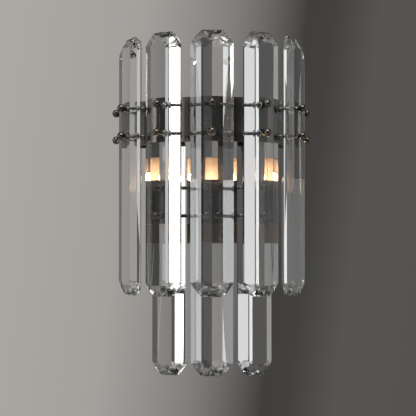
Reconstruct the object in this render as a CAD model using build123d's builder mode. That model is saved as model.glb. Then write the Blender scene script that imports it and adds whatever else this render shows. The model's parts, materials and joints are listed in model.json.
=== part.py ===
from build123d import *

import math
import os

# Crystal wall sconce. Seven long crystal bars hang around an upper steel band and three more around a
# smaller band below and behind it. Each bar is held by two studs with ball nuts. Millimetres. The wall
# is the plane Y = 0, the room lies towards -Y, +Z is up, and the origin is the centre of the backplate
# on the wall.

# ---- crystal bars ----
crystal_length = 380.0
crystal_width = 61.5
crystal_thickness = 26.0
crystal_flat = 31.0  # the flat of the front face, between its bevels
crystal_edge_depth = 10.0  # from the front flat back to the side edges
side_cut_width = 16.0  # how far the end cuts of the side edges reach in
side_cut_height = 15.5
table_thickness = 4.0  # the narrow table left at each end
face_cut_height = 15.6  # end facets of the front flat and of the back ridge
arch_width = 24.4  # the front flat's end is this wide at the top of its arch
corner_edge_drop = 17.7  # where a corner facet meets the side edge, below the tip
corner_flat_drop = 21.3  # where it meets the flat's long edge
stud_hole = 5.0
stud_hole_drop = 105.0  # upper stud hole below the bar's top end
stud_spacing = 41.0
spot_face = 9.6  # seat cut in the back ridge round each hole
spot_face_depth = 2.2

# ---- tiers ----
upper_axis_y = -50.0  # the upper band's axis, in front of the wall
upper_radius = 130.0  # from that axis to the middle of each bar
upper_step = 32.5  # degrees between neighbouring bars
upper_count = 7
lower_axis_y = -6.0
lower_radius = 116.0
lower_step = 32.5
lower_count = 3
upper_band_z = 112.0  # height of the upper band's middle
lower_band_z = -5.0

# ---- bands ----
band_height = 64.5
band_thickness = 2.5
band_edge = 0.4  # worn corner along the band's rims
band_gap = 2.0  # between a band and the back ridge of its bars
tab_length = 24.0  # inward tabs at the upper band's ends
tab_bend = 1.2
stud_clearance = 0.15

# ---- studs, balls and washers ----
stud_diameter = 4.0
thread_gap = 0.05
stud_end = 1.5  # how far a stud stands past its back nut
nut_height = 3.2
nut_width = 7.0
standoff_diameter = 9.0
collar_diameter = 8.0
collar_thickness = 1.2
ball_diameter = 12.0
ball_neck_diameter = 5.6
ball_standoff = 17.3  # ball centre in front of the middle of the bar
ball_bore_depth = 7.0

# ---- backplate and wall strap ----
plate_width = 127.0
plate_height = 132.0
plate_depth = 22.0
plate_wall = 1.5
plate_corner = 4.0
plate_bend = 2.0
strap_length = 118.0
strap_width = 22.0
strap_thickness = 2.5
strap_stud_z = 53.0
strap_corner = 3.0
box_slot_spacing = 79.4  # between the middles of the two slots for the junction box screws
box_slot_length = 15.0
box_slot_width = 5.2
strap_centre_hole = 10.5
cap_neck = 6.4  # from the plate to the middle of a cap nut's ball
cap_bore_depth = 8.0
earth_z = 16.0
earth_head = 8.0
earth_head_height = 2.4

# ---- frame tee ----
tee_thickness = 4.0
tee_leg_width = 20.0
tee_leg_bottom = 14.0
tee_bar_height = 36.0
tee_bar_overhang = 3.0  # the bar ends this far inside the band's outer face
tee_corner = 8.0
tab_screw_inset = 14.0  # from the bar's end to the tab screws
tab_screw_spacing = 20.0
tee_screw_z = 28.0

# ---- lower band's arms ----
arm_sheet = 2.5
arm_x = 44.0  # outer face of each arm's web
arm_height = 40.0
arm_foot = 17.0
arm_tab_margin = 7.0  # degrees of tab past the outer stud
arm_screw_spacing = 24.0
arm_foot_hole = 8.0  # from the web to the foot's screws

# ---- screws that join the frame to the plate ----
screw_diameter = 4.0
screw_head = 7.6
screw_head_height = 2.6
screw_head_taper = 18.0  # degrees
screw_end = 1.5

# ---- lamp bracket, holders and bulbs ----
shelf_sheet = 2.5
shelf_top = -33.5
shelf_width = 78.0
shelf_reach = 50.0  # from the plate's front to the shelf's front edge
bracket_foot_height = 22.0
bracket_bend = 2.0
shelf_corner = 6.0
bracket_screw_x = 18.0
bracket_screw_z = -20.0
lamp_x = 27.0
lamp_y = -58.0
holder_diameter = 20.0
holder_height = 26.0
holder_edge = 1.0
holder_skirt = 17.0
holder_skirt_height = 9.0
socket_length = 14.6
socket_width = 5.2
socket_depth = 9.0
pin_spacing = 9.0
pin_diameter = 1.2
pin_length = 6.5
pin_clearance = 0.3
bulb_diameter = 16.0
bulb_height = 48.0  # glass above the holder
bulb_dome = 7.6
bulb_shoulder = 2.0
bulb_seat = 0.4  # the glass sits this far above the holder's top
bulb_base_length = 13.8
bulb_base_thickness = 4.4
bulb_base_gap = 0.4  # under the bulb's base in its socket
holder_screw = 3.0
holder_screw_length = 7.0
holder_screw_head = 5.6
holder_screw_head_height = 1.8

# ---- leads and terminal block ----
lead_diameter = 3.0
lead_grip = 3.5  # how deep a lead goes into its holder and into the block
lead_fit = 0.05
lead_bend = 7.0
lead_inside = 8.0  # how far behind the plate's inner face the leads turn
block_width = 22.0
block_height = 12.0
block_depth = 13.0
block_edge = 0.8
block_well = 4.2  # wells for the terminal screws
block_well_depth = 3.0
block_grip = 6.0  # how deep the block's fixing screw goes into it
grommet_diameter = 8.0
grommet_flange = 1.0
grommet_hole = 6.0

# ---- values that follow from the ones above ----
upper_outer = upper_radius - crystal_thickness + crystal_edge_depth - band_gap
lower_outer = lower_radius - crystal_thickness + crystal_edge_depth - band_gap
upper_inner = upper_outer - band_thickness
lower_inner = lower_outer - band_thickness
plate_front = -plate_depth
plate_inside = plate_front + plate_wall
tee_front = plate_front - tee_thickness
standoff_thickness = band_gap + spot_face_depth
stud_offsets = (stud_spacing / 2, -stud_spacing / 2)
thread_bore = stud_diameter / 2 + thread_gap
stand_on = (Align.CENTER, Align.CENTER, Align.MIN)


def fan(count, step):
    """Angles of a tier's bars, from left to right, with the middle one straight ahead."""
    return [(i - (count - 1) / 2) * step for i in range(count)]


upper_angles = fan(upper_count, upper_step)
lower_angles = fan(lower_count, lower_step)


def radial_plane(axis_y, angle, z):
    """A plane at a tier's axis that faces outwards at an angle, with its own Y upwards."""
    turn = math.radians(angle)
    across = (math.cos(turn), math.sin(turn), 0)
    outward = (math.sin(turn), -math.cos(turn), 0)
    return Plane(origin=(0, axis_y, z), x_dir=across, z_dir=outward)


def stud_planes(axis_y, angles, band_z):
    return [radial_plane(axis_y, a, band_z + dz) for a in angles for dz in stud_offsets]


def offset_all(planes, distance):
    return [plane.offset(distance) for plane in planes]


def save(part, name):
    part.label = name
    export_step(part, f"parts/{name}.step")


os.makedirs("parts", exist_ok=True)
upper_studs_at = stud_planes(upper_axis_y, upper_angles, upper_band_z)
lower_studs_at = stud_planes(lower_axis_y, lower_angles, lower_band_z)


# ---- crystals ----
def end_facets(end):
    """Points and outward normals of one end's facets, for the top end (+1) or the bottom end (-1).

    They are in the bar's own frame: X across it, Y towards the back, Z up, and the origin at its
    centre, level with the side edges.
    """
    tip = end * crystal_length / 2
    half = crystal_width / 2
    flat = crystal_flat / 2
    back = crystal_thickness - crystal_edge_depth
    facets = []
    for side in (-1, 1):
        edge = Vector(side * (half - side_cut_width), 0, tip)
        facets.append((edge, Vector(side * side_cut_height, 0, end * side_cut_width)))
        corner = Vector(side * half, 0, tip - end * corner_edge_drop)
        for face, depth in ((-1, crystal_edge_depth), (1, back)):
            long_edge = Vector(side * flat, face * depth, tip - end * corner_flat_drop)
            arch = Vector(side * arch_width / 2, face * depth, tip - end * face_cut_height)
            normal = (long_edge - corner).cross(arch - corner)
            facets.append((corner, normal if normal.Z * end > 0 else -normal))
    for face, depth in ((-1, crystal_edge_depth), (1, back)):
        rise = depth - table_thickness / 2
        table = Vector(0, face * table_thickness / 2, tip)
        facets.append((table, Vector(0, face * face_cut_height, end * rise)))
    return facets


def make_crystal(name, axis_y, radius, angle, band_z):
    middle_z = band_z + stud_spacing / 2 + stud_hole_drop - crystal_length / 2
    outward = radial_plane(axis_y, angle, middle_z).offset(radius)
    seat = Plane(origin=outward.origin, x_dir=outward.x_dir, z_dir=(0, 0, 1))
    flat = crystal_flat / 2
    half = crystal_width / 2
    with BuildPart() as crystal:
        with BuildSketch(seat.offset(-crystal_length / 2)):
            with BuildLine():
                Polyline(
                    (-half, 0),
                    (-flat, -crystal_edge_depth),
                    (flat, -crystal_edge_depth),
                    (half, 0),
                    (0, crystal_thickness - crystal_edge_depth),
                    close=True,
                )
            make_face()
        extrude(amount=crystal_length)
        for point, normal in end_facets(1) + end_facets(-1):
            on_facet = seat.from_local_coords(point)
            facet = Plane(origin=on_facet, z_dir=seat.from_local_coords(point + normal) - on_facet)
            split(bisect_by=facet, keep=Keep.BOTTOM)
        back_face = radius - crystal_thickness + crystal_edge_depth
        for plane in stud_planes(axis_y, [angle], band_z):
            with Locations(-plane.offset(back_face)):
                CounterBoreHole(stud_hole / 2, spot_face / 2, spot_face_depth)
    save(crystal.part, name)


for index, angle in enumerate(upper_angles, start=1):
    make_crystal(f"upper_crystal_{index}", upper_axis_y, upper_radius, angle, upper_band_z)
for index, angle in enumerate(lower_angles, start=1):
    make_crystal(f"lower_crystal_{index}", lower_axis_y, lower_radius, angle, lower_band_z)


# ---- studs, nuts, collars and balls, one node of each for a tier ----
def inside_seat(radius):
    """Where the flat face of a nut sits inside a round band, which it touches with its corners."""
    return math.sqrt(radius**2 - (nut_width / math.sqrt(3)) ** 2)


def ring_outline(plane, outer_diameter):
    with BuildSketch(plane) as ring:
        Circle(outer_diameter / 2)
        Circle(thread_bore, mode=Mode.SUBTRACT)
    return ring.sketch


def nut_outline(plane):
    with BuildSketch(plane) as nut:
        RegularPolygon(nut_width / 2, 6, major_radius=False)
        Circle(thread_bore, mode=Mode.SUBTRACT)
    return nut.sketch


def ball_nut_at(seat, neck_length, bore_depth):
    """A ball nut whose neck stands on a plane, added to the part being built."""
    with Locations(seat.offset(neck_length)):
        Sphere(ball_diameter / 2)
    with Locations(seat):
        Cylinder(ball_neck_diameter / 2, neck_length, align=stand_on)
        Cylinder(thread_bore, bore_depth, align=stand_on, mode=Mode.SUBTRACT)


def make_fasteners(tier, planes, radius, inners):
    """A tier's fasteners. planes stand at its axis, and inners are the faces that the nuts seat on."""
    outer = radius - crystal_thickness + crystal_edge_depth - band_gap
    front = radius + crystal_edge_depth
    neck_start = front + collar_thickness
    neck_length = radius + ball_standoff - neck_start
    bore_depth = neck_length - ball_diameter / 2 + ball_bore_depth
    with BuildPart() as studs:
        for plane, inner in zip(planes, inners):
            stud_start = inside_seat(inner) - nut_height - stud_end
            with BuildSketch(plane.offset(stud_start)):
                Circle(stud_diameter / 2)
            extrude(amount=neck_start + bore_depth - thread_gap - stud_start)
    save(studs.part, f"{tier}_studs")

    with BuildPart() as nuts:
        for plane, inner in zip(planes, inners):
            extrude(nut_outline(plane.offset(inside_seat(inner) - nut_height)), amount=nut_height)
    save(nuts.part, f"{tier}_back_nuts")

    with BuildPart() as standoffs:
        for plane in planes:
            extrude(ring_outline(plane.offset(outer), standoff_diameter), amount=standoff_thickness)
    save(standoffs.part, f"{tier}_standoffs")

    with BuildPart() as collars:
        for plane in planes:
            extrude(ring_outline(plane.offset(front), collar_diameter), amount=collar_thickness)
    save(collars.part, f"{tier}_front_washers")

    with BuildPart() as balls:
        for plane in planes:
            ball_nut_at(plane.offset(neck_start), neck_length, bore_depth)
    save(balls.part, f"{tier}_ball_finials")


arm_tab_outer = lower_inner
arm_tab_inner = lower_inner - arm_sheet
lower_seats = [arm_tab_inner if abs(a) == lower_angles[-1] else lower_inner for a in lower_angles]
make_fasteners("upper", upper_studs_at, upper_radius, [upper_inner] * len(upper_studs_at))
make_fasteners(
    "lower", lower_studs_at, lower_radius, [seat for seat in lower_seats for _ in stud_offsets]
)


# ---- bands ----
def ring_sector(centre_y, outer, inner, first, last):
    """A band's plan: the ring between two radii, from one angle to another, straight ahead being 0."""
    with BuildLine() as outline:
        CenterArc((0, centre_y), outer, first - 90, last - first)
        CenterArc((0, centre_y), inner, first - 90, last - first)
        for angle in (first, last):
            turn = math.radians(angle)
            start = (inner * math.sin(turn), centre_y - inner * math.cos(turn))
            end = (outer * math.sin(turn), centre_y - outer * math.cos(turn))
            Line(start, end)
    make_face(outline.edges())


stud_pass = stud_diameter / 2 + stud_clearance
upper_band_bottom = upper_band_z - band_height / 2
upper_end = 90 + math.degrees(math.asin((tee_front - upper_axis_y) / upper_outer))
band_end_x = upper_outer * math.sin(math.radians(upper_end))
tee_half = band_end_x - tee_bar_overhang
tab_screw_x = tee_half - tab_screw_inset
tab_screws_at = [
    (x, upper_band_z + z)
    for x in (-tab_screw_x, tab_screw_x)
    for z in (-tab_screw_spacing / 2, tab_screw_spacing / 2)
]
screw_pass = screw_diameter / 2 + stud_clearance


def facing_from(x, y, z):
    """A plane parallel to the wall through a point, seen from the room: its X is X, its Y is Z."""
    return Plane(origin=(x, y, z), x_dir=(1, 0, 0), z_dir=(0, -1, 0))


def facing_room(y):
    return facing_from(0, y, 0)


def drill_through(y_back, y_front, places, radius):
    """Round holes through a flat sheet between two Y, at (x, z) places."""
    with BuildSketch(facing_room(y_back)) as holes:
        with Locations(*places):
            Circle(radius)
    extrude(holes.sketch, amount=y_back - y_front, mode=Mode.SUBTRACT)


with BuildPart() as upper_band:
    with BuildSketch(Plane.XY.offset(upper_band_bottom)):
        ring_sector(upper_axis_y, upper_outer, upper_inner, -upper_end, upper_end)
        for side in (-1, 1):
            tab_middle = (side * (band_end_x - tab_length / 2), tee_front - band_thickness / 2)
            with Locations(tab_middle):
                Rectangle(tab_length, band_thickness)
    extrude(amount=band_height)
    fillet(upper_band.edges().filter_by(Axis.Z).group_by(Axis.Y)[-1], tab_bend)
    rims = upper_band.edges().group_by(Axis.Z)
    chamfer(rims[-1] + rims[0], band_edge)
    with Locations(*offset_all(upper_studs_at, upper_outer)):
        Hole(stud_pass, depth=band_thickness * 2)
    drill_through(tee_front, tee_front - band_thickness, tab_screws_at, screw_pass)
save(upper_band.part, "upper_band")

lower_end = lower_angles[-1] + math.degrees(math.atan(crystal_width / 2 / lower_outer))
with BuildPart() as lower_band:
    with BuildSketch(Plane.XY.offset(lower_band_z - band_height / 2)):
        ring_sector(lower_axis_y, lower_outer, lower_inner, -lower_end, lower_end)
    extrude(amount=band_height)
    rims = lower_band.edges().group_by(Axis.Z)
    chamfer(rims[-1] + rims[0], band_edge)
    with Locations(*offset_all(lower_studs_at, lower_outer)):
        Hole(stud_pass, depth=band_thickness * 2)
save(lower_band.part, "lower_band")

# ---- frame tee, which carries the upper band ----
with BuildPart() as frame_tee:
    with BuildSketch(facing_room(plate_front)) as tee_outline:
        with Locations((0, upper_band_z)):
            Rectangle(2 * tee_half, tee_bar_height)
        with Locations((0, (tee_leg_bottom + upper_band_z) / 2)):
            Rectangle(tee_leg_width, upper_band_z - tee_leg_bottom)
        inner_corners = tee_outline.vertices().group_by(Axis.Y)[1].sort_by(Axis.X)[1:3]
        fillet(inner_corners, tee_corner)
        fillet(tee_outline.vertices().group_by(Axis.Y)[0], tee_corner / 2)
    extrude(amount=tee_thickness)
    drill_through(plate_front, tee_front, tab_screws_at, screw_pass)
    drill_through(plate_front, tee_front, [(0, strap_stud_z), (0, tee_screw_z)], screw_pass)
save(frame_tee.part, "frame_tee")


# ---- arms, which carry the lower band ----
arm_screws_z = [lower_band_z - arm_screw_spacing / 2, lower_band_z + arm_screw_spacing / 2]
arm_hole_x = arm_x + arm_foot_hole


def make_arm(name, side):
    outer_stud = lower_angles[-1]
    web_inner = arm_x - arm_sheet
    web_end = lower_axis_y - math.sqrt(arm_tab_outer**2 - arm_x**2)
    tab_start = math.degrees(math.asin(web_inner / arm_tab_outer))
    tab_end = outer_stud + arm_tab_margin
    first, last = sorted((side * tab_start, side * tab_end))
    with BuildPart() as arm:
        with BuildSketch(Plane.XY.offset(lower_band_z - arm_height / 2)):
            with Locations((side * (arm_x - arm_sheet / 2), (plate_front + web_end) / 2)):
                Rectangle(arm_sheet, plate_front - web_end)
            with Locations((side * (web_inner + arm_foot / 2), plate_front - arm_sheet / 2)):
                Rectangle(arm_foot, arm_sheet)
            ring_sector(lower_axis_y, arm_tab_outer, arm_tab_inner, first, last)
        extrude(amount=arm_height)
        own_studs = stud_planes(lower_axis_y, [side * outer_stud], lower_band_z)
        with Locations(*offset_all(own_studs, arm_tab_outer)):
            Hole(stud_pass, depth=arm_sheet * 2)
        places = [(side * arm_hole_x, z) for z in arm_screws_z]
        drill_through(plate_front, plate_front - arm_sheet, places, screw_pass)
    save(arm.part, name)


make_arm("lower_arm_left", -1)
make_arm("lower_arm_right", 1)


# ---- lamp bracket ----
shelf_bottom = shelf_top - shelf_sheet
lead_z = shelf_top + bracket_bend + grommet_diameter / 2
foot_front = plate_front - shelf_sheet
shelf_front = plate_front - shelf_reach
bracket_screws_at = [(-bracket_screw_x, bracket_screw_z), (bracket_screw_x, bracket_screw_z)]
lamps_x = (-lamp_x, lamp_x)
leads_at = [(x, lead_z) for x in lamps_x]
block_screw_at = [(0, lead_z)]
with BuildPart() as lamp_bracket:
    with BuildSketch(Plane.YZ.offset(-shelf_width / 2)) as bracket_profile:
        with Locations((plate_front, shelf_bottom)):
            Rectangle(shelf_reach, shelf_sheet, align=(Align.MAX, Align.MIN))
            Rectangle(shelf_sheet, bracket_foot_height, align=(Align.MAX, Align.MIN))
        bend = bracket_profile.vertices().sort_by_distance((foot_front, shelf_top))[0]
        fillet(bend, bracket_bend)
    extrude(amount=shelf_width)
    front_corners = lamp_bracket.edges().filter_by(Axis.Z).group_by(Axis.Y)[0]
    fillet(front_corners, shelf_corner)
    drill_through(plate_front, foot_front, bracket_screws_at + block_screw_at, screw_pass)
    drill_through(plate_front, foot_front, leads_at, grommet_hole / 2)
    with Locations(*[(x, lamp_y, shelf_top) for x in lamps_x]):
        Hole(holder_screw / 2 + stud_clearance, depth=2 * shelf_sheet)
save(lamp_bracket.part, "lamp_bracket")


# ---- lamp holders, bulbs and their pins ----
holder_top = shelf_top + holder_height
socket_floor = holder_top - socket_depth
base_bottom = socket_floor + bulb_base_gap
glass_bottom = holder_top + bulb_seat
lead_hole = lead_diameter / 2 + lead_fit
lead_start_y = lamp_y + holder_skirt / 2 - lead_grip


def make_lamp(side, x):
    pins = [(x - pin_spacing / 2, lamp_y), (x + pin_spacing / 2, lamp_y)]
    with BuildPart() as holder:
        with BuildSketch(Plane.XY.offset(shelf_top)):
            with Locations((x, lamp_y)):
                Circle(holder_skirt / 2)
        extrude(amount=holder_height)
        with BuildSketch(Plane.XY.offset(shelf_top + holder_skirt_height)):
            with Locations((x, lamp_y)):
                Circle(holder_diameter / 2)
        extrude(amount=holder_height - holder_skirt_height)
        chamfer(holder.edges().group_by(Axis.Z)[-1], holder_edge)
        with BuildSketch(Plane.XY.offset(holder_top)):
            with Locations((x, lamp_y)):
                Rectangle(socket_length, socket_width)
        extrude(amount=-socket_depth, mode=Mode.SUBTRACT)
        with BuildSketch(Plane.XY.offset(socket_floor)):
            with Locations(*pins):
                Circle(pin_diameter / 2 + pin_clearance)
        extrude(amount=-pin_length, mode=Mode.SUBTRACT)
        with BuildSketch(Plane.XY.offset(shelf_top)):
            with Locations((x, lamp_y)):
                Circle(holder_screw / 2 + thread_gap)
        extrude(amount=holder_screw_length - shelf_sheet + thread_gap, mode=Mode.SUBTRACT)
        with BuildSketch(facing_room(lamp_y + holder_diameter / 2)):
            with Locations((x, lead_z)):
                Circle(lead_hole)
        extrude(amount=lamp_y + holder_diameter / 2 - lead_start_y + lead_fit, mode=Mode.SUBTRACT)
    save(holder.part, f"lamp_holder_{side}")

    with BuildPart() as bulb:
        with BuildSketch(Plane.XZ.offset(-lamp_y)):
            with Locations((x, glass_bottom)):
                Rectangle(bulb_diameter / 2, bulb_height, align=(Align.MIN, Align.MIN))
        revolve(axis=Axis((x, lamp_y, 0), (0, 0, 1)))
        fillet(bulb.edges().group_by(Axis.Z)[-1], bulb_dome)
        fillet(bulb.edges().group_by(Axis.Z)[0], bulb_shoulder)
        with BuildSketch(Plane.XY.offset(base_bottom)):
            with Locations((x, lamp_y)):
                Rectangle(bulb_base_length, bulb_base_thickness)
        extrude(amount=glass_bottom + bulb_shoulder - base_bottom)
    save(bulb.part, f"bulb_{side}")

    with BuildPart() as bulb_pins:
        with BuildSketch(Plane.XY.offset(base_bottom)):
            with Locations(*pins):
                Circle(pin_diameter / 2)
        extrude(amount=-pin_length)
    save(bulb_pins.part, f"bulb_{side}_pins")

    block_side = math.copysign(block_width / 2 - lead_grip, x)
    turn_y = plate_inside + lead_inside
    with BuildPart() as lead:
        with BuildLine():
            start = (x, lead_start_y, lead_z)
            end = (block_side, turn_y, lead_z)
            route = FilletPolyline(start, (x, turn_y, lead_z), end, radius=lead_bend)
        with BuildSketch(Plane(origin=route @ 0, z_dir=route % 0)):
            Circle(lead_diameter / 2)
        sweep()
    save(lead.part, f"lamp_lead_{side}")


make_lamp("left", -lamp_x)
make_lamp("right", lamp_x)

with BuildPart() as holder_screws:
    with BuildSketch(Plane.XY.offset(shelf_bottom)):
        with Locations(*[(x, lamp_y) for x in lamps_x]):
            Circle(holder_screw_head / 2)
    extrude(amount=-holder_screw_head_height)
    fillet(holder_screws.edges().group_by(Axis.Z)[0], holder_screw_head_height / 2)
    with BuildSketch(Plane.XY.offset(shelf_bottom)):
        with Locations(*[(x, lamp_y) for x in lamps_x]):
            Circle(holder_screw / 2)
    extrude(amount=holder_screw_length)
save(holder_screws.part, "holder_screws")

# ---- terminal block and grommets ----
with BuildPart() as terminal_block:
    with BuildSketch(facing_room(plate_inside)):
        with Locations((0, lead_z)):
            Rectangle(block_width, block_height)
    extrude(amount=-block_depth)
    chamfer(terminal_block.edges().group_by(Axis.Y)[-1], block_edge)
    for side in (-1, 1):
        entry = Plane(
            origin=(side * block_width / 2, plate_inside + lead_inside, lead_z), z_dir=(-side, 0, 0)
        )
        with BuildSketch(entry):
            Circle(lead_hole)
        extrude(amount=lead_grip + lead_fit, mode=Mode.SUBTRACT)
        with BuildSketch(facing_room(plate_inside + block_depth)):
            with Locations((side * block_width / 4, lead_z)):
                Circle(block_well / 2)
        extrude(amount=block_well_depth, mode=Mode.SUBTRACT)
    with BuildSketch(facing_room(plate_inside + block_grip)):
        with Locations((0, lead_z)):
            Circle(thread_bore)
    extrude(amount=block_grip, mode=Mode.SUBTRACT)
save(terminal_block.part, "terminal_block")

with BuildPart() as lead_grommets:
    with BuildSketch(facing_room(plate_inside)):
        with Locations(*leads_at):
            Circle(grommet_hole / 2 - thread_gap)
    extrude(amount=plate_inside - foot_front)
    for y_back in (plate_inside + grommet_flange, foot_front):
        with BuildSketch(facing_room(y_back)):
            with Locations(*leads_at):
                Circle(grommet_diameter / 2)
        extrude(amount=grommet_flange)
    with BuildSketch(facing_room(plate_inside + grommet_flange)):
        with Locations(*leads_at):
            Circle(lead_hole)
    extrude(amount=plate_inside - foot_front + 2 * grommet_flange, mode=Mode.SUBTRACT)
save(lead_grommets.part, "lead_grommets")

# ---- backplate ----
arm_screws_at = [(side * arm_hole_x, z) for side in (-1, 1) for z in arm_screws_z]
frame_screws_at = arm_screws_at + bracket_screws_at + [(0, tee_screw_z)]
strap_studs_at = [(0, strap_stud_z), (0, -strap_stud_z)]
with BuildPart() as backplate:
    with BuildSketch(facing_room(0)):
        RectangleRounded(plate_width, plate_height, plate_corner)
    extrude(amount=plate_depth)
    fillet(backplate.edges().group_by(Axis.Y)[0], plate_bend)
    with BuildSketch(facing_room(0)):
        RectangleRounded(
            plate_width - 2 * plate_wall, plate_height - 2 * plate_wall, plate_corner - plate_wall
        )
    extrude(amount=plate_depth - plate_wall, mode=Mode.SUBTRACT)
    screw_places = frame_screws_at + strap_studs_at + block_screw_at
    drill_through(plate_inside, plate_front, screw_places, screw_pass)
    drill_through(plate_inside, plate_front, leads_at, grommet_hole / 2)
save(backplate.part, "backplate")


# ---- screws and nuts of the frame ----
def screw_at(x, z, head_seat, tip_y):
    """A round-headed screw from the room side, added to the part being built."""
    with BuildSketch(facing_room(head_seat)) as head:
        with Locations((x, z)):
            Circle(screw_head / 2)
    extrude(head.sketch, amount=screw_head_height, taper=screw_head_taper)
    with BuildSketch(facing_room(tip_y)) as shank:
        with Locations((x, z)):
            Circle(screw_diameter / 2)
    extrude(shank.sketch, amount=tip_y - head_seat)


screw_tip = plate_inside + nut_height + screw_end
with BuildPart() as frame_screws:
    for x, z in arm_screws_at:
        screw_at(x, z, plate_front - arm_sheet, screw_tip)
    for x, z in bracket_screws_at:
        screw_at(x, z, foot_front, screw_tip)
    screw_at(0, tee_screw_z, tee_front, screw_tip)
save(frame_screws.part, "frame_screws")

with BuildPart() as frame_nuts:
    for x, z in frame_screws_at:
        extrude(nut_outline(facing_from(x, plate_inside + nut_height, z)), amount=nut_height)
save(frame_nuts.part, "frame_nuts")

with BuildPart() as block_screw:
    screw_at(0, lead_z, foot_front, plate_inside + block_grip - thread_gap)
save(block_screw.part, "block_screw")

with BuildPart() as tab_screws:
    for x, z in tab_screws_at:
        screw_at(x, z, tee_front - band_thickness, plate_front + nut_height + screw_end)
save(tab_screws.part, "tab_screws")

with BuildPart() as tab_nuts:
    for x, z in tab_screws_at:
        extrude(nut_outline(facing_from(x, plate_front + nut_height, z)), amount=nut_height)
save(tab_nuts.part, "tab_nuts")

# ---- wall strap, its studs, nuts and earth screw ----
with BuildPart() as wall_strap:
    with BuildSketch(facing_room(0)):
        RectangleRounded(strap_width, strap_length, strap_corner)
        with Locations((0, box_slot_spacing / 2), (0, -box_slot_spacing / 2)):
            SlotOverall(box_slot_length, box_slot_width, rotation=90, mode=Mode.SUBTRACT)
        Circle(strap_centre_hole / 2, mode=Mode.SUBTRACT)
        with Locations(*strap_studs_at, (0, earth_z)):
            Circle(thread_bore, mode=Mode.SUBTRACT)
    extrude(amount=strap_thickness)
save(wall_strap.part, "wall_strap")

strap_front = -strap_thickness
cap_seats = ((strap_stud_z, tee_front), (-strap_stud_z, plate_front))
with BuildPart() as strap_studs:
    for z, seat_y in cap_seats:
        with BuildSketch(facing_room(0)):
            with Locations((0, z)):
                Circle(stud_diameter / 2)
        extrude(amount=cap_bore_depth - thread_gap - seat_y)
save(strap_studs.part, "strap_studs")

with BuildPart() as strap_lock_nuts:
    for z, _ in cap_seats:
        extrude(nut_outline(facing_from(0, strap_front, z)), amount=nut_height)
save(strap_lock_nuts.part, "strap_lock_nuts")

with BuildPart() as cap_nuts:
    for z, seat_y in cap_seats:
        ball_nut_at(facing_from(0, seat_y, z), cap_neck, cap_bore_depth)
save(cap_nuts.part, "cap_nuts")

with BuildPart() as earth_screw:
    with BuildSketch(facing_room(strap_front)):
        with Locations((0, earth_z)):
            Circle(earth_head / 2)
    extrude(amount=earth_head_height, taper=screw_head_taper)
    with BuildSketch(facing_room(0)):
        with Locations((0, earth_z)):
            Circle(stud_diameter / 2)
    extrude(amount=strap_thickness)
save(earth_screw.part, "earth_screw")
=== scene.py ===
import json
import math

import bmesh
import bpy
from bpy.props import FloatProperty, FloatVectorProperty, PointerProperty
from mathutils import Matrix, Vector


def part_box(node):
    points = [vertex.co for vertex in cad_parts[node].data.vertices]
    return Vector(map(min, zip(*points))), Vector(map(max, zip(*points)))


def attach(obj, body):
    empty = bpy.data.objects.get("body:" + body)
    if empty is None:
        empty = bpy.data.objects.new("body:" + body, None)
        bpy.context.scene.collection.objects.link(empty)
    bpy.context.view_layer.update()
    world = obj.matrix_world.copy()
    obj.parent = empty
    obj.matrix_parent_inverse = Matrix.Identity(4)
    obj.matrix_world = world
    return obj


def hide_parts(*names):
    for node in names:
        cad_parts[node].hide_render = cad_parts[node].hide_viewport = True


bl_info = {
    "name": "Crystal wall sconce",
    "version": (1, 0, 0),
    "blender": (4, 5, 0),
    "location": "3D View > Sidebar > Sconce",
    "description": "Finishes of the sconce's crystals, metals and lamps, and a plain stage",
    "category": "Object",
}

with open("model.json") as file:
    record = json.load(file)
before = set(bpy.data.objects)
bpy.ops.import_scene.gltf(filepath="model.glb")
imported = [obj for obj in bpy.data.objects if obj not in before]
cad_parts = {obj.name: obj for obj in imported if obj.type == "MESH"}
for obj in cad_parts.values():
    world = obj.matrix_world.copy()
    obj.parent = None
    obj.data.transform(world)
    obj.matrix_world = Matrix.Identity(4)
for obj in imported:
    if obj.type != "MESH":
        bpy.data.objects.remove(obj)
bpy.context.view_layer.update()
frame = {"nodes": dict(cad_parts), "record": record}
nodes = frame["nodes"]

# Each tier of crystals hangs round an upright axis at (0, axis_y).
TIERS = {"upper": {"axis_y": -0.05, "count": 7}, "lower": {"axis_y": -0.006, "count": 3}}


# ---- shader maths ----
class Wire:
    """A node's output, which takes part in Python expressions."""

    def __init__(self, finish, socket):
        self.finish = finish
        self.socket = socket

    def math(self, operation, *values):
        inputs = dict(enumerate(values))
        return self.finish.node("Math", {"operation": operation}, inputs)

    def __add__(self, other):
        return self.math("ADD", self, other)

    def __radd__(self, other):
        return self.math("ADD", other, self)

    def __sub__(self, other):
        return self.math("SUBTRACT", self, other)

    def __rsub__(self, other):
        return self.math("SUBTRACT", other, self)

    def __mul__(self, other):
        return self.math("MULTIPLY", self, other)

    def __rmul__(self, other):
        return self.math("MULTIPLY", other, self)

    def __pow__(self, other):
        return self.math("POWER", self, other)


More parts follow.
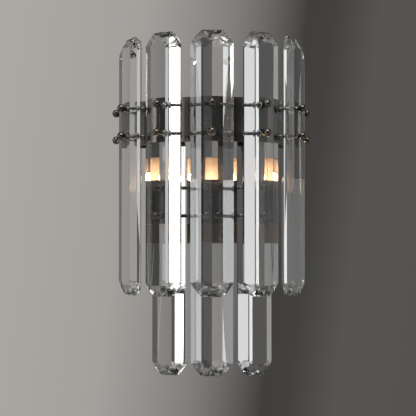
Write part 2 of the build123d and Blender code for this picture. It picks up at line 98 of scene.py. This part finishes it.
class Finish:
    """A material under construction, with one way to add any node."""

    def __init__(self, name, constants):
        self.material = bpy.data.materials.new(name)
        self.material.use_nodes = True
        self.tree = self.material.node_tree
        self.surface = next(n for n in self.tree.nodes if n.type == "BSDF_PRINCIPLED")
        for key, value in constants.items():
            self.surface.inputs[key].default_value = value

    def feed(self, socket, value):
        if isinstance(value, Wire):
            self.tree.links.new(value.socket, socket)
        else:
            socket.default_value = value

    def node(self, kind, settings=None, inputs=None, output=0):
        made = self.tree.nodes.new("ShaderNode" + kind)
        settings = dict(settings or {})
        stops = settings.pop("stops", None)
        for key, value in settings.items():
            setattr(made, key, value)
        if stops:
            elements = made.color_ramp.elements
            while len(elements) < len(stops):
                elements.new(0.5)
            for element, (position, colour) in zip(elements, stops):
                element.position = position
                element.color = (*colour, 1)
        for key, value in (inputs or {}).items():
            self.feed(made.inputs[key], value)
        return Wire(self, made.outputs[output])

    def place(self):
        return self.node("TexCoord", output="Object")

    def along(self, axis):
        return self.node("SeparateXYZ", inputs={0: self.place()}, output="XYZ".index(axis))

    def noise(self, scale, detail=3.0, stretch=(1, 1, 1)):
        spot = self.node("Mapping", inputs={"Vector": self.place(), "Scale": stretch})
        return self.node("TexNoise", inputs={"Vector": spot, "Scale": scale, "Detail": detail})

    def ranged(self, wire, low, high):
        """The wire's values from low to high, stretched to 0 to 1 and held there."""
        return self.node("MapRange", {"clamp": True}, {0: wire, 1: low, 2: high})

    def mix(self, factor, first, second):
        """A Mix node takes its two colours at sockets 6 and 7 and gives the result at 2."""
        return self.node("Mix", {"data_type": "RGBA"}, {0: factor, 6: first, 7: second}, 2)

    def set(self, **sockets):
        for key, value in sockets.items():
            self.feed(self.surface.inputs[key.replace("_", " ")], value)

    def bump(self, height, strength, distance):
        inputs = {"Height": height, "Strength": strength, "Distance": distance}
        self.set(Normal=self.node("Bump", inputs=inputs))


def rgba(colour):
    return (*colour, 1.0)


def shade(colour, factor):
    return (*(part * factor for part in colour), 1.0)


# ---- finishes ----
def crystal_finish(look):
    """Clear crystal with a few handled spots, almost flat."""
    f = Finish("cut crystal", {"Transmission Weight": 1.0, "IOR": look.ior})
    smudge = f.ranged(f.noise(26, detail=4), 0.48, 0.75)
    cloud = f.noise(9, detail=2)
    f.set(Base_Color=f.mix(cloud, rgba(look.tint), shade(look.tint, 0.985)))
    f.set(Roughness=smudge * look.smudge)
    f.bump(f.noise(30, detail=1), strength=0.004, distance=0.0001)
    return f.material


def cut_finish(look):
    """The bars' ends: cut into small facets, each with its own tilt and some of them frosted.

    Within a cell the height rises evenly in a direction of the cell's own, which tilts it.
    """
    f = Finish("cut ends", {"Transmission Weight": 1.0, "IOR": look.ior})
    cell = f.node("TexVoronoi", inputs={"Vector": f.place(), "Scale": look.cells}, output="Color")
    tilt = f.node("VectorMath", {"operation": "SUBTRACT"}, {0: cell, 1: (0.5, 0.5, 0.5)})
    slope = f.node("VectorMath", {"operation": "DOT_PRODUCT"}, {0: tilt, 1: f.place()}, "Value")
    cloud = f.noise(60, detail=2)
    f.set(Base_Color=f.mix(cloud, rgba(look.tint), shade(look.tint, 0.985)))
    frost = f.ranged(f.node("SeparateColor", inputs={0: cell}), 0.1, 0.65)
    f.set(Roughness=frost * look.frost + cloud * 0.02)
    f.bump(slope * look.tilt, strength=1.0, distance=1.0)
    return f.material


def bronze_finish(name, bronze, gloss):
    """Patinated bronze: brown clouds, a fine upright brushing and small rubbed spots."""
    f = Finish(name, {"Metallic": 1.0, "Coat Weight": 0.5, "Coat Roughness": 0.1})
    cloud = f.ranged(f.noise(38, detail=4), 0.3, 0.75)
    grain = f.noise(420, detail=2, stretch=(1, 1, 0.05))
    rubbed = f.ranged(f.noise(170, detail=5), 0.64, 0.76)
    base = f.mix(cloud, rgba(bronze.patina), rgba(bronze.body))
    base = f.mix(grain * 0.35, base, shade(bronze.body, 0.7))
    f.set(Base_Color=f.mix(rubbed * 0.35, base, rgba(bronze.rubbed)))
    f.set(Roughness=gloss + cloud * 0.06 - rubbed * 0.05 + grain * 0.05)
    f.bump(grain + cloud * 0.4, strength=0.06, distance=0.0002)
    return f.material


def plate_finish(bronze):
    """Bronze lacquer on the backplate: duller than the bands, with upright brushing."""
    f = Finish("lacquered plate", {"Metallic": 0.35, "IOR": 1.5})
    cloud = f.ranged(f.noise(45, detail=4), 0.3, 0.75)
    grain = f.noise(300, detail=3, stretch=(1, 1, 0.04))
    base = f.mix(cloud, shade(bronze.lacquer, 0.85), rgba(bronze.lacquer))
    f.set(Base_Color=f.mix(grain * 0.5, base, shade(bronze.lacquer, 0.6)))
    f.set(Roughness=0.42 + cloud * 0.08 + grain * 0.1)
    f.bump(grain, strength=0.1, distance=0.0002)
    return f.material


def zinc_finish(steel):
    """Zinc plated steel with fine spangles."""
    f = Finish("zinc plated steel", {"Metallic": 1.0})
    cloud = f.ranged(f.noise(60, detail=3), 0.35, 0.65)
    spangle = f.node("TexVoronoi", inputs={"Vector": f.place(), "Scale": 700.0}, output="Color")
    value = f.node("SeparateColor", inputs={0: spangle})
    f.set(Base_Color=f.mix(cloud, rgba(steel.zinc), shade(steel.zinc, 0.72)))
    f.set(Roughness=0.26 + cloud * 0.12 + value * 0.08)
    f.bump(f.noise(900, detail=3), strength=0.08, distance=0.0001)
    return f.material


def thread_finish(steel, axis_y):
    """Steel stud: the thread's rings follow the distance from the tier's upright axis."""
    f = Finish("threaded steel", {"Metallic": 1.0})
    x = f.along("X")
    y = f.along("Y") - axis_y
    radius = (x * x + y * y) ** 0.5
    rings = f.node("Math", {"operation": "SINE"}, {0: radius * (2 * math.pi / steel.pitch)})
    cloud = f.ranged(f.noise(80, detail=3), 0.35, 0.65)
    f.set(Base_Color=f.mix(cloud, shade(steel.zinc, 0.8), shade(steel.zinc, 0.5)))
    f.set(Roughness=0.25 + cloud * 0.15)
    f.bump(rings, strength=0.8, distance=0.0002)
    return f.material


def brass_finish():
    f = Finish("turned brass", {"Metallic": 1.0})
    cloud = f.noise(90, detail=3)
    f.set(Base_Color=f.mix(cloud, (0.62, 0.42, 0.16, 1), (0.45, 0.29, 0.10, 1)))
    f.set(Roughness=0.22 + cloud * 0.2)
    f.bump(f.noise(1200, detail=2), strength=0.06, distance=0.0001)
    return f.material


def pin_finish():
    f = Finish("nickel pins", {"Metallic": 1.0})
    cloud = f.noise(300, detail=2)
    f.set(Base_Color=f.mix(cloud, (0.72, 0.70, 0.66, 1), (0.58, 0.55, 0.50, 1)))
    f.set(Roughness=0.18 + cloud * 0.14)
    f.bump(cloud, strength=0.05, distance=0.0001)
    return f.material


def ceramic_finish():
    """Fired ceramic with brown specks."""
    f = Finish("fired ceramic", {"IOR": 1.5})
    cloud = f.noise(60, detail=3)
    speck = f.ranged(f.noise(900, detail=2), 0.66, 0.72)
    base = f.mix(cloud, (0.80, 0.77, 0.71, 1), (0.72, 0.68, 0.61, 1))
    f.set(Base_Color=f.mix(speck * 0.6, base, (0.42, 0.37, 0.31, 1)))
    f.set(Roughness=0.42 + cloud * 0.16)
    f.bump(f.noise(700, detail=3), strength=0.15, distance=0.0002)
    return f.material


def bulb_finish(look, bottom, top):
    """Frosted glass, lit from inside: hottest at the middle of the capsule."""
    f = Finish("frosted bulb", {"IOR": 1.5, "Emission Strength": look.strength})
    height = f.ranged(f.along("Z"), bottom, top)
    middle = 1 - (height * 2 - 1) ** 2
    cloud = f.noise(300, detail=2)
    f.set(Base_Color=f.mix(cloud, (0.90, 0.88, 0.84, 1), (0.82, 0.79, 0.74, 1)))
    f.set(Emission_Color=f.mix(middle, rgba(look.edge_glow), rgba(look.glow)))
    f.set(Roughness=0.35 + cloud * 0.15)
    f.bump(f.noise(2500, detail=2), strength=0.1, distance=0.0001)
    return f.material


def sleeve_finish():
    """Braided sleeve of the leads, with a fine weave, painted shade in its grooves, and some dirt.
    """
    f = Finish("braided sleeve", {"IOR": 1.45})
    inputs = {"Vector": f.place(), "Scale": 1500.0}
    weave = f.node("TexVoronoi", {"feature": "SMOOTH_F1"}, inputs)
    dirt = f.noise(120, detail=3)
    base = f.mix(dirt, (0.78, 0.75, 0.68, 1), (0.66, 0.62, 0.55, 1))
    # The weave's grooves, low in the bump, are darkened: painted shade.
    f.set(Base_Color=f.mix(f.ranged(weave, 0.2, 0.7) * 0.5, base, (0.45, 0.42, 0.37, 1)))
    f.set(Roughness=0.72 + dirt * 0.15)
    f.bump(1 - weave, strength=0.6, distance=0.0003)
    return f.material


def moulded_finish(name, colour, rough, grain):
    """Moulded rubber or plastic, with the mould's fine grain."""
    f = Finish(name, {"IOR": 1.47})
    cloud = f.noise(90, detail=3)
    f.set(Base_Color=f.mix(cloud, rgba(colour), shade(colour, 0.86)))
    f.set(Roughness=rough + cloud * 0.12)
    f.bump(f.noise(grain, detail=3), strength=0.12, distance=0.0002)
    return f.material


def floor_finish(colour):
    f = Finish("floor paint", {"Roughness": 0.9, "Specular IOR Level": 0.1})
    cloud = f.noise(2.5, detail=3)
    f.set(Base_Color=f.mix(cloud, rgba(colour), shade(colour, 0.96)))
    return f.material


# ---- meshes ----
MERGE_DISTANCE = 1e-6
FLAT_TOLERANCE = math.radians(0.5)  # between the triangles of one facet
END_ANGLE = math.radians(12)  # end facets that meet at more get a small facet between them
GROUND_ANGLE = math.radians(20)  # facets that meet at more get a ground edge


def give(node, material):
    mesh = nodes[node].data
    mesh.materials.clear()
    mesh.materials.append(material)


def finish_piece(name, bm, materials, replaced):
    mesh = bpy.data.meshes.new(name)
    bm.to_mesh(mesh)
    bm.free()
    for material in materials:
        mesh.materials.append(material)
    piece = bpy.data.objects.new(name, mesh)
    bpy.context.scene.collection.objects.link(piece)
    bodies = frame["record"]["behaviour"]["bodies"]
    body = next(b for b, members in bodies.items() if replaced in members)
    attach(piece, body)
    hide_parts(replaced)


def sharp_edges(bm, angle, shortest):
    """The edges between two facets that meet at more than the angle, but not the shortest ones."""
    return [
        e
        for e in bm.edges
        if len(e.link_faces) == 2 and e.calc_length() > shortest and e.calc_face_angle(0) > angle
    ]


def grind(bm, edges, width):
    bmesh.ops.bevel(
        bm, geom=edges, offset=width, offset_type="OFFSET", affect="EDGES", segments=1,
        profile=0.5, material=-1, clamp_overlap=True,
    )


def polished_copy(node, axis_y, look):
    """The CAD crystal with whole facets, a narrow facet round its front flat and ground edges.

    Its ends get small extra facets and the second material.
    """

    def at_end(face):
        return abs(face.normal.z) > look.steep

    bm = bmesh.new()
    bm.from_mesh(nodes[node].data)
    bmesh.ops.remove_doubles(bm, verts=bm.verts, dist=MERGE_DISTANCE)
    bmesh.ops.dissolve_limit(
        bm, angle_limit=FLAT_TOLERANCE, verts=bm.verts, edges=bm.edges,
        use_dissolve_boundaries=False,
    )
    low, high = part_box(node)
    outward = (low + high) / 2 - Vector((0, axis_y, 0))
    outward.z = 0
    outward.normalize()
    front = max(bm.faces, key=lambda face: (round(face.normal.dot(outward), 3), face.calc_area()))
    grind(bm, [e for e in front.edges if e.calc_length() > look.shortest], look.rim)
    sharp = sharp_edges(bm, END_ANGLE, look.shortest)
    grind(bm, [e for e in sharp if all(at_end(face) for face in e.link_faces)], look.end)
    grind(bm, sharp_edges(bm, GROUND_ANGLE, look.shortest), look.edge)
    for face in bm.faces:
        face.material_index = int(at_end(face))
    return bm


# ---- settings ----
class CrystalSettings(bpy.types.PropertyGroup):
    ior: FloatProperty(name="IOR", description="Refractive index of the crystal", default=1.54)
    tint: FloatVectorProperty(
        name="Tint", description="Colour of the crystal", subtype="COLOR",
        default=(0.985, 0.99, 0.988),
    )
    smudge: FloatProperty(name="Smudge", description="Roughness of handled spots", default=0.004)
    edge: FloatProperty(
        name="Ground edge", description="Width of the ground edges", default=0.0006, unit="LENGTH"
    )
    rim: FloatProperty(
        name="Rim facet", description="Width of the facet round the front flat", default=0.0014,
        unit="LENGTH",
    )
    shortest: FloatProperty(
        name="Shortest edge", description="Shorter edges stay sharp", default=0.0025, unit="LENGTH"
    )
    steep: FloatProperty(
        name="End slope", default=0.15,
        description="Facets whose normals rise or fall more than this are end facets",
    )
    end: FloatProperty(
        name="End facets", description="Width of the small facets between the end facets",
        default=0.0028, unit="LENGTH",
    )
    cells: FloatProperty(
        name="End cells", description="Tilted spots per metre on the end facets", default=130.0
    )
    tilt: FloatProperty(name="End tilt", description="Slope of the tilted spots", default=0.9)
    frost: FloatProperty(
        name="End frost", description="Roughness of the dullest spots", default=0.36
    )


class BronzeSettings(bpy.types.PropertyGroup):
    body: FloatVectorProperty(
        name="Body", description="Colour of the bronze", subtype="COLOR",
        default=(0.16, 0.141, 0.121),
    )
    patina: FloatVectorProperty(
        name="Patina", description="Dark clouds of the bronze", subtype="COLOR",
        default=(0.118, 0.101, 0.086),
    )
    rubbed: FloatVectorProperty(
        name="Rubbed", description="Bronze where it is rubbed bare", subtype="COLOR",
        default=(0.29, 0.24, 0.18),
    )
    lacquer: FloatVectorProperty(
        name="Lacquer", description="Colour of the backplate", subtype="COLOR",
        default=(0.30, 0.225, 0.165),
    )


class SteelSettings(bpy.types.PropertyGroup):
    zinc: FloatVectorProperty(
        name="Zinc", description="Colour of the plated steel", subtype="COLOR",
        default=(0.56, 0.55, 0.52),
    )
    pitch: FloatProperty(
        name="Pitch", description="Pitch of the studs' thread", default=0.0007, unit="LENGTH"
    )


class LampSettings(bpy.types.PropertyGroup):
    strength: FloatProperty(name="Strength", description="Light of each bulb", default=62.0)
    glow: FloatVectorProperty(
        name="Glow", description="Colour at the bulb's middle", subtype="COLOR",
        default=(1.0, 0.78, 0.55),
    )
    edge_glow: FloatVectorProperty(
        name="Edge glow", description="Colour at the bulb's ends", subtype="COLOR",
        default=(1.0, 0.62, 0.34),
    )


class StageSettings(bpy.types.PropertyGroup):
    wall: FloatProperty(
        name="Backdrop", description="Tone of the backdrop's lit side", default=0.40
    )
    shade: FloatProperty(
        name="Backdrop shade", description="Tone of the backdrop's dim side", default=0.09
    )
    floor: FloatVectorProperty(
        name="Floor", description="Colour of the floor", subtype="COLOR",
        default=(0.78, 0.77, 0.75),
    )
    floor_z: FloatProperty(
        name="Floor height", description="Height of the floor", default=-1.3, unit="LENGTH"
    )
    key: FloatProperty(
        name="Key light", description="Brightness of the strong soft box at the left", default=5.0
    )
    side: FloatProperty(
        name="Side light", description="Brightness of the soft boxes at the sides", default=0.6
    )
    back: FloatProperty(
        name="Back light", description="Brightness of the soft boxes behind", default=0.35
    )
    top: FloatProperty(
        name="Top light", description="Brightness of the overhead soft box", default=5.0
    )
    world: FloatProperty(
        name="World", description="Strength of the even surrounding light", default=0.09
    )
    lens: FloatProperty(
        name="Lens", description="Focal length of the camera", default=117.26, unit="CAMERA"
    )
    eye: FloatVectorProperty(
        name="Eye", description="Place of the camera", subtype="XYZ", unit="LENGTH",
        default=(-0.00575, -2.1, -0.073),
    )
    pitch: FloatProperty(
        name="Camera pitch", description="Upward tilt of the camera", subtype="ANGLE",
        default=math.radians(1.69),
    )


# ---- stage ----
UPRIGHT = Matrix.Rotation(math.radians(90), 4, "X")  # stands a card up, to face the camera
BACKDROP_PLACE, BACKDROP_SIZE = (0, 3.0, 0.5), (4.1, 4.2)
BACKDROP_ENDS = -2.5, 2.5  # where the tones' positions 0 and 1 are, from left to right
BACKDROP_LEAN = 0.12  # the tones move right by this for each metre up
CARD_PLACE, CARD_SIZE = (0, 0.045, -0.02), (0.17, 0.68)
CARD_ENDS = -0.085, 0.085
# The card's tones are painted light and shade: a lit wall at the left and a painted shadow of the
# sconce on it at the right, seen only in the glass and metal.
CARD_TONES = (0.0, 0.30), (0.25, 0.26), (0.43, 0.21), (0.53, 0.05), (0.75, 0.055), (1.0, 0.085)
FLOOR_SIZE = 8.0, 8.0
WARMTH = 1.05  # of the backdrop and the card, against a neutral grey
SKY = (0.97, 0.98, 1.0, 1)
SENSOR_WIDTH = 36
BOUNCES = 48  # light crosses many facets before it leaves the crystals

MIDDLE_Y = -0.1  # the soft boxes stand round the sconce's middle
BOX_DISTANCE = 20.0  # so far that every facet sees a soft box in the same direction
BOTTOM, TOP = -33.0, 41.0  # elevations that a tall soft box fills, in degrees
LOW_TOP = 3.0  # the top of the low ones

# Each soft box's name, azimuth and spread to both sides of it in degrees, the setting that its
# brightness comes from, its share of that, and the elevation of its top. Azimuth 0 is behind the
# sconce, 180 is where the camera stands, and the right is positive.
SOFT_BOXES = (
    ("left side", -109.0, 2.05, "key", 1.0, TOP),
    ("left front", -98.0, 2.5, "side", 1.5, TOP),
    ("left low", -90.0, 0.9, "side", 0.8, TOP),
    ("left line", -86.9, 0.95, "side", 2.0, TOP),
    ("left dim", -82.5, 1.2, "side", 0.25, TOP),
    ("left back", -51.0, 4.5, "back", 0.8, TOP),
    ("left under", -40.5, 4.5, "back", 2.0, LOW_TOP),
    ("right under", 42.5, 5.0, "back", 1.3, LOW_TOP),
    ("right back", 53.0, 4.5, "back", 0.9, TOP),
    ("right line", 82.5, 2.2, "side", 1.0, TOP),
    ("right low", 89.0, 4.0, "side", 1.3, TOP),
    ("right side", 109.0, 6.0, "side", 1.1, TOP),
    ("left sheen", -121.5, 5.5, "side", 2.0, TOP),
)
TOP_LAMP_PLACE, TOP_LAMP_SIZE = (0, -1.2, 1.9), (1.6, 1.2)


def sheet(name, matrix, size, material):
    bm = bmesh.new()
    bmesh.ops.create_grid(bm, x_segments=1, y_segments=1, size=0.5)
    bmesh.ops.scale(bm, vec=(*size, 1), verts=bm.verts)
    bmesh.ops.transform(bm, matrix=matrix, verts=bm.verts)
    mesh = bpy.data.meshes.new(name)
    bm.to_mesh(mesh)
    bm.free()
    mesh.materials.append(material)
    plane = bpy.data.objects.new(name, mesh)
    bpy.context.scene.collection.objects.link(plane)
    return plane


def glowing_finish(name, ends, tones, lean=0.0):
    """A glow that goes through its tones from end to end and leans right on its way up."""
    f = Finish(name, {"Roughness": 1.0, "Specular IOR Level": 0.0, "Emission Strength": 1.0})
    across = f.ranged(f.along("X") - f.along("Z") * lean, *ends)
    stops = [(position, (tone * WARMTH, tone, tone / WARMTH)) for position, tone in tones]
    f.set(Base_Color=(0, 0, 0, 1))
    f.set(Emission_Color=f.node("ValToRGB", {"stops": stops}, {0: across}))
    return f.material


def set_sheets(look):
    """The backdrop, the floor, and a card behind the bars that the camera sees only in them; the
    backdrop and the card carry painted light and shade.
    """
    # Painted light on the backdrop: lit at the left and dimming to the right, a painted shadow of
    # the sconce just right of it (darkest from 0.555 to 0.575), and a painted lit patch far right
    # (0.84 to 0.91) that only the crystals show.
    tones = (
        (0.0, look.world), (0.26, look.world), (0.31, look.wall), (0.43, look.wall * 0.88),
        (0.50, look.wall * 0.52), (0.555, look.shade * 0.55), (0.575, look.shade * 0.6),
        (0.61, look.shade), (0.75, look.shade * 0.9), (0.84, look.wall * 0.5),
        (0.91, look.wall * 0.6),
    )
    paper = glowing_finish("backdrop paper", BACKDROP_ENDS, tones, BACKDROP_LEAN)
    sheet("backdrop", Matrix.Translation(BACKDROP_PLACE) @ UPRIGHT, BACKDROP_SIZE, paper)
    # Painted wall close behind the sconce: lit at the left, painted shadow at the right.
    glow = glowing_finish("tone card", CARD_ENDS, CARD_TONES)
    card = sheet("tone card", Matrix.Translation(CARD_PLACE) @ UPRIGHT, CARD_SIZE, glow)
    card.visible_camera = False
    card.visible_shadow = False
    ground = Matrix.Translation((0, 0, look.floor_z))
    sheet("floor", ground, FLOOR_SIZE, floor_finish(look.floor))


def hang_lamp(name, place, target, size, radiance):
    """A soft box that looks as bright as a white card when its radiance is 1."""
    lamp = bpy.data.lights.new(name, "AREA")
    lamp.shape = "RECTANGLE"
    lamp.size, lamp.size_y = size
    lamp.energy = radiance * math.pi * size[0] * size[1]
    box = bpy.data.objects.new(name, lamp)
    box.location = place
    box.rotation_euler = (target - place).to_track_quat("-Z", "Y").to_euler()
    box.visible_camera = False
    bpy.context.scene.collection.objects.link(box)


def hang_lamps(look):
    """The far soft boxes round the sconce and the one overhead."""
    for name, azimuth, spread, source, share, elevation in SOFT_BOXES:
        turn = math.radians(azimuth)
        width = 2 * BOX_DISTANCE * math.tan(math.radians(spread))
        low, high = (BOX_DISTANCE * math.tan(math.radians(a)) for a in (BOTTOM, elevation))
        x, y = BOX_DISTANCE * math.sin(turn), BOX_DISTANCE * math.cos(turn) + MIDDLE_Y
        place = Vector((x, y, (low + high) / 2))
        target = Vector((0, MIDDLE_Y, place.z))
        hang_lamp(name, place, target, (width, high - low), getattr(look, source) * share)
    target = Vector((0, MIDDLE_Y, 0))
    hang_lamp("top", Vector(TOP_LAMP_PLACE), target, TOP_LAMP_SIZE, look.top)


def set_world(scene, look):
    world = bpy.data.worlds.new("even light")
    scene.world = world
    world.use_nodes = True
    sky = next(n for n in world.node_tree.nodes if n.type == "BACKGROUND")
    sky.inputs["Color"].default_value = SKY
    sky.inputs["Strength"].default_value = look.world


def set_camera(scene, look):
    lens = bpy.data.cameras.new("camera")
    lens.lens = look.lens
    lens.sensor_width = SENSOR_WIDTH
    camera = bpy.data.objects.new("camera", lens)
    camera.location = look.eye
    camera.rotation_euler = (math.radians(90) + look.pitch, 0, 0)
    scene.collection.objects.link(camera)
    scene.camera = camera


# ---- operators ----
class SCONCE_OT_crystals(bpy.types.Operator):
    """Polished crystal bars in place of the CAD ones"""

    bl_idname = "sconce.crystals"
    bl_label = "Crystals"

    def execute(self, context):
        look = context.scene.sconce_crystal
        materials = crystal_finish(look), cut_finish(look)
        for tier, place in TIERS.items():
            for index in range(1, place["count"] + 1):
                node = f"{tier}_crystal_{index}"
                bm = polished_copy(node, place["axis_y"], look)
                finish_piece(f"{tier}_bar_{index}", bm, materials, node)
        return {"FINISHED"}


class SCONCE_OT_bronze(bpy.types.Operator):
    """Patinated bronze on the bands, frame and backplate, and on the balls and collars"""

    bl_idname = "sconce.bronze"
    bl_label = "Bronze"

    def execute(self, context):
        bronze = context.scene.sconce_bronze
        satin = bronze_finish("satin bronze", bronze, gloss=0.2)
        for node in (
            "upper_band", "lower_band", "frame_tee", "lower_arm_left", "lower_arm_right",
            "lamp_bracket",
        ):
            give(node, satin)
        give("backplate", plate_finish(bronze))
        polished = bronze_finish("polished bronze", bronze, gloss=0.14)
        for node in (
            "upper_ball_finials", "lower_ball_finials", "cap_nuts", "upper_front_washers",
            "lower_front_washers",
        ):
            give(node, polished)
        return {"FINISHED"}


class SCONCE_OT_fasteners(bpy.types.Operator):
    """Plated steel on the studs, nuts, spacers, screws and wall strap"""

    bl_idname = "sconce.fasteners"
    bl_label = "Fasteners"

    def execute(self, context):
        steel = context.scene.sconce_steel
        zinc = zinc_finish(steel)
        for node in (
            "upper_back_nuts", "lower_back_nuts", "upper_standoffs", "lower_standoffs",
            "frame_nuts", "frame_screws", "tab_nuts", "tab_screws", "block_screw",
            "holder_screws", "strap_lock_nuts", "strap_studs", "wall_strap",
        ):
            give(node, zinc)
        for tier, place in TIERS.items():
            give(f"{tier}_studs", thread_finish(steel, place["axis_y"]))
        give("earth_screw", brass_finish())
        return {"FINISHED"}


class SCONCE_OT_lamps(bpy.types.Operator):
    """Ceramic holders, lit bulbs, leads and their terminal block"""

    bl_idname = "sconce.lamps"
    bl_label = "Lamps"

    def execute(self, context):
        look = context.scene.sconce_lamp
        ceramic = ceramic_finish()
        low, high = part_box("bulb_left")
        bulb = bulb_finish(look, low.z, high.z)
        pins = pin_finish()
        sleeve = sleeve_finish()
        for side in ("left", "right"):
            give(f"lamp_holder_{side}", ceramic)
            give(f"bulb_{side}", bulb)
            give(f"bulb_{side}_pins", pins)
            give(f"lamp_lead_{side}", sleeve)
        rubber = moulded_finish("black rubber", (0.03, 0.03, 0.03), rough=0.6, grain=800)
        give("lead_grommets", rubber)
        plastic = moulded_finish("moulded block", (0.74, 0.72, 0.66), rough=0.4, grain=500)
        give("terminal_block", plastic)
        return {"FINISHED"}


class SCONCE_OT_stage(bpy.types.Operator):
    """A backdrop, a floor, soft boxes and the camera"""

    bl_idname = "sconce.stage"
    bl_label = "Stage"

    def execute(self, context):
        scene = context.scene
        look = scene.sconce_stage
        set_sheets(look)
        hang_lamps(look)
        set_world(scene, look)
        set_camera(scene, look)
        scene.view_settings.view_transform = "Standard"
        scene.cycles.max_bounces = BOUNCES
        scene.cycles.transmission_bounces = BOUNCES
        return {"FINISHED"}


class SCONCE_PT_panel(bpy.types.Panel):
    """The sconce's settings and build steps"""

    bl_label = "Sconce"
    bl_idname = "SCONCE_PT_panel"
    bl_space_type = "VIEW_3D"
    bl_region_type = "UI"
    bl_category = "Sconce"

    def draw(self, context):
        for step, name, settings in STEPS:
            box = self.layout.box()
            box.operator(step.bl_idname)
            group = getattr(context.scene, name)
            for setting in settings.__annotations__:
                box.prop(group, setting)


# Each step with the scene's name for its settings, and their group.
STEPS = (
    (SCONCE_OT_crystals, "sconce_crystal", CrystalSettings),
    (SCONCE_OT_bronze, "sconce_bronze", BronzeSettings),
    (SCONCE_OT_fasteners, "sconce_steel", SteelSettings),
    (SCONCE_OT_lamps, "sconce_lamp", LampSettings),
    (SCONCE_OT_stage, "sconce_stage", StageSettings),
)


def register():
    for step, name, settings in STEPS:
        bpy.utils.register_class(settings)
        setattr(bpy.types.Scene, name, PointerProperty(type=settings))
        bpy.utils.register_class(step)
    bpy.utils.register_class(SCONCE_PT_panel)


def unregister():
    bpy.utils.unregister_class(SCONCE_PT_panel)
    for step, name, settings in reversed(STEPS):
        bpy.utils.unregister_class(step)
        delattr(bpy.types.Scene, name)
        bpy.utils.unregister_class(settings)


def main():
    register()
    for step, _, _ in STEPS:
        area, action = step.bl_idname.split(".")
        getattr(getattr(bpy.ops, area), action)()


if __name__ == "__main__":
    main()
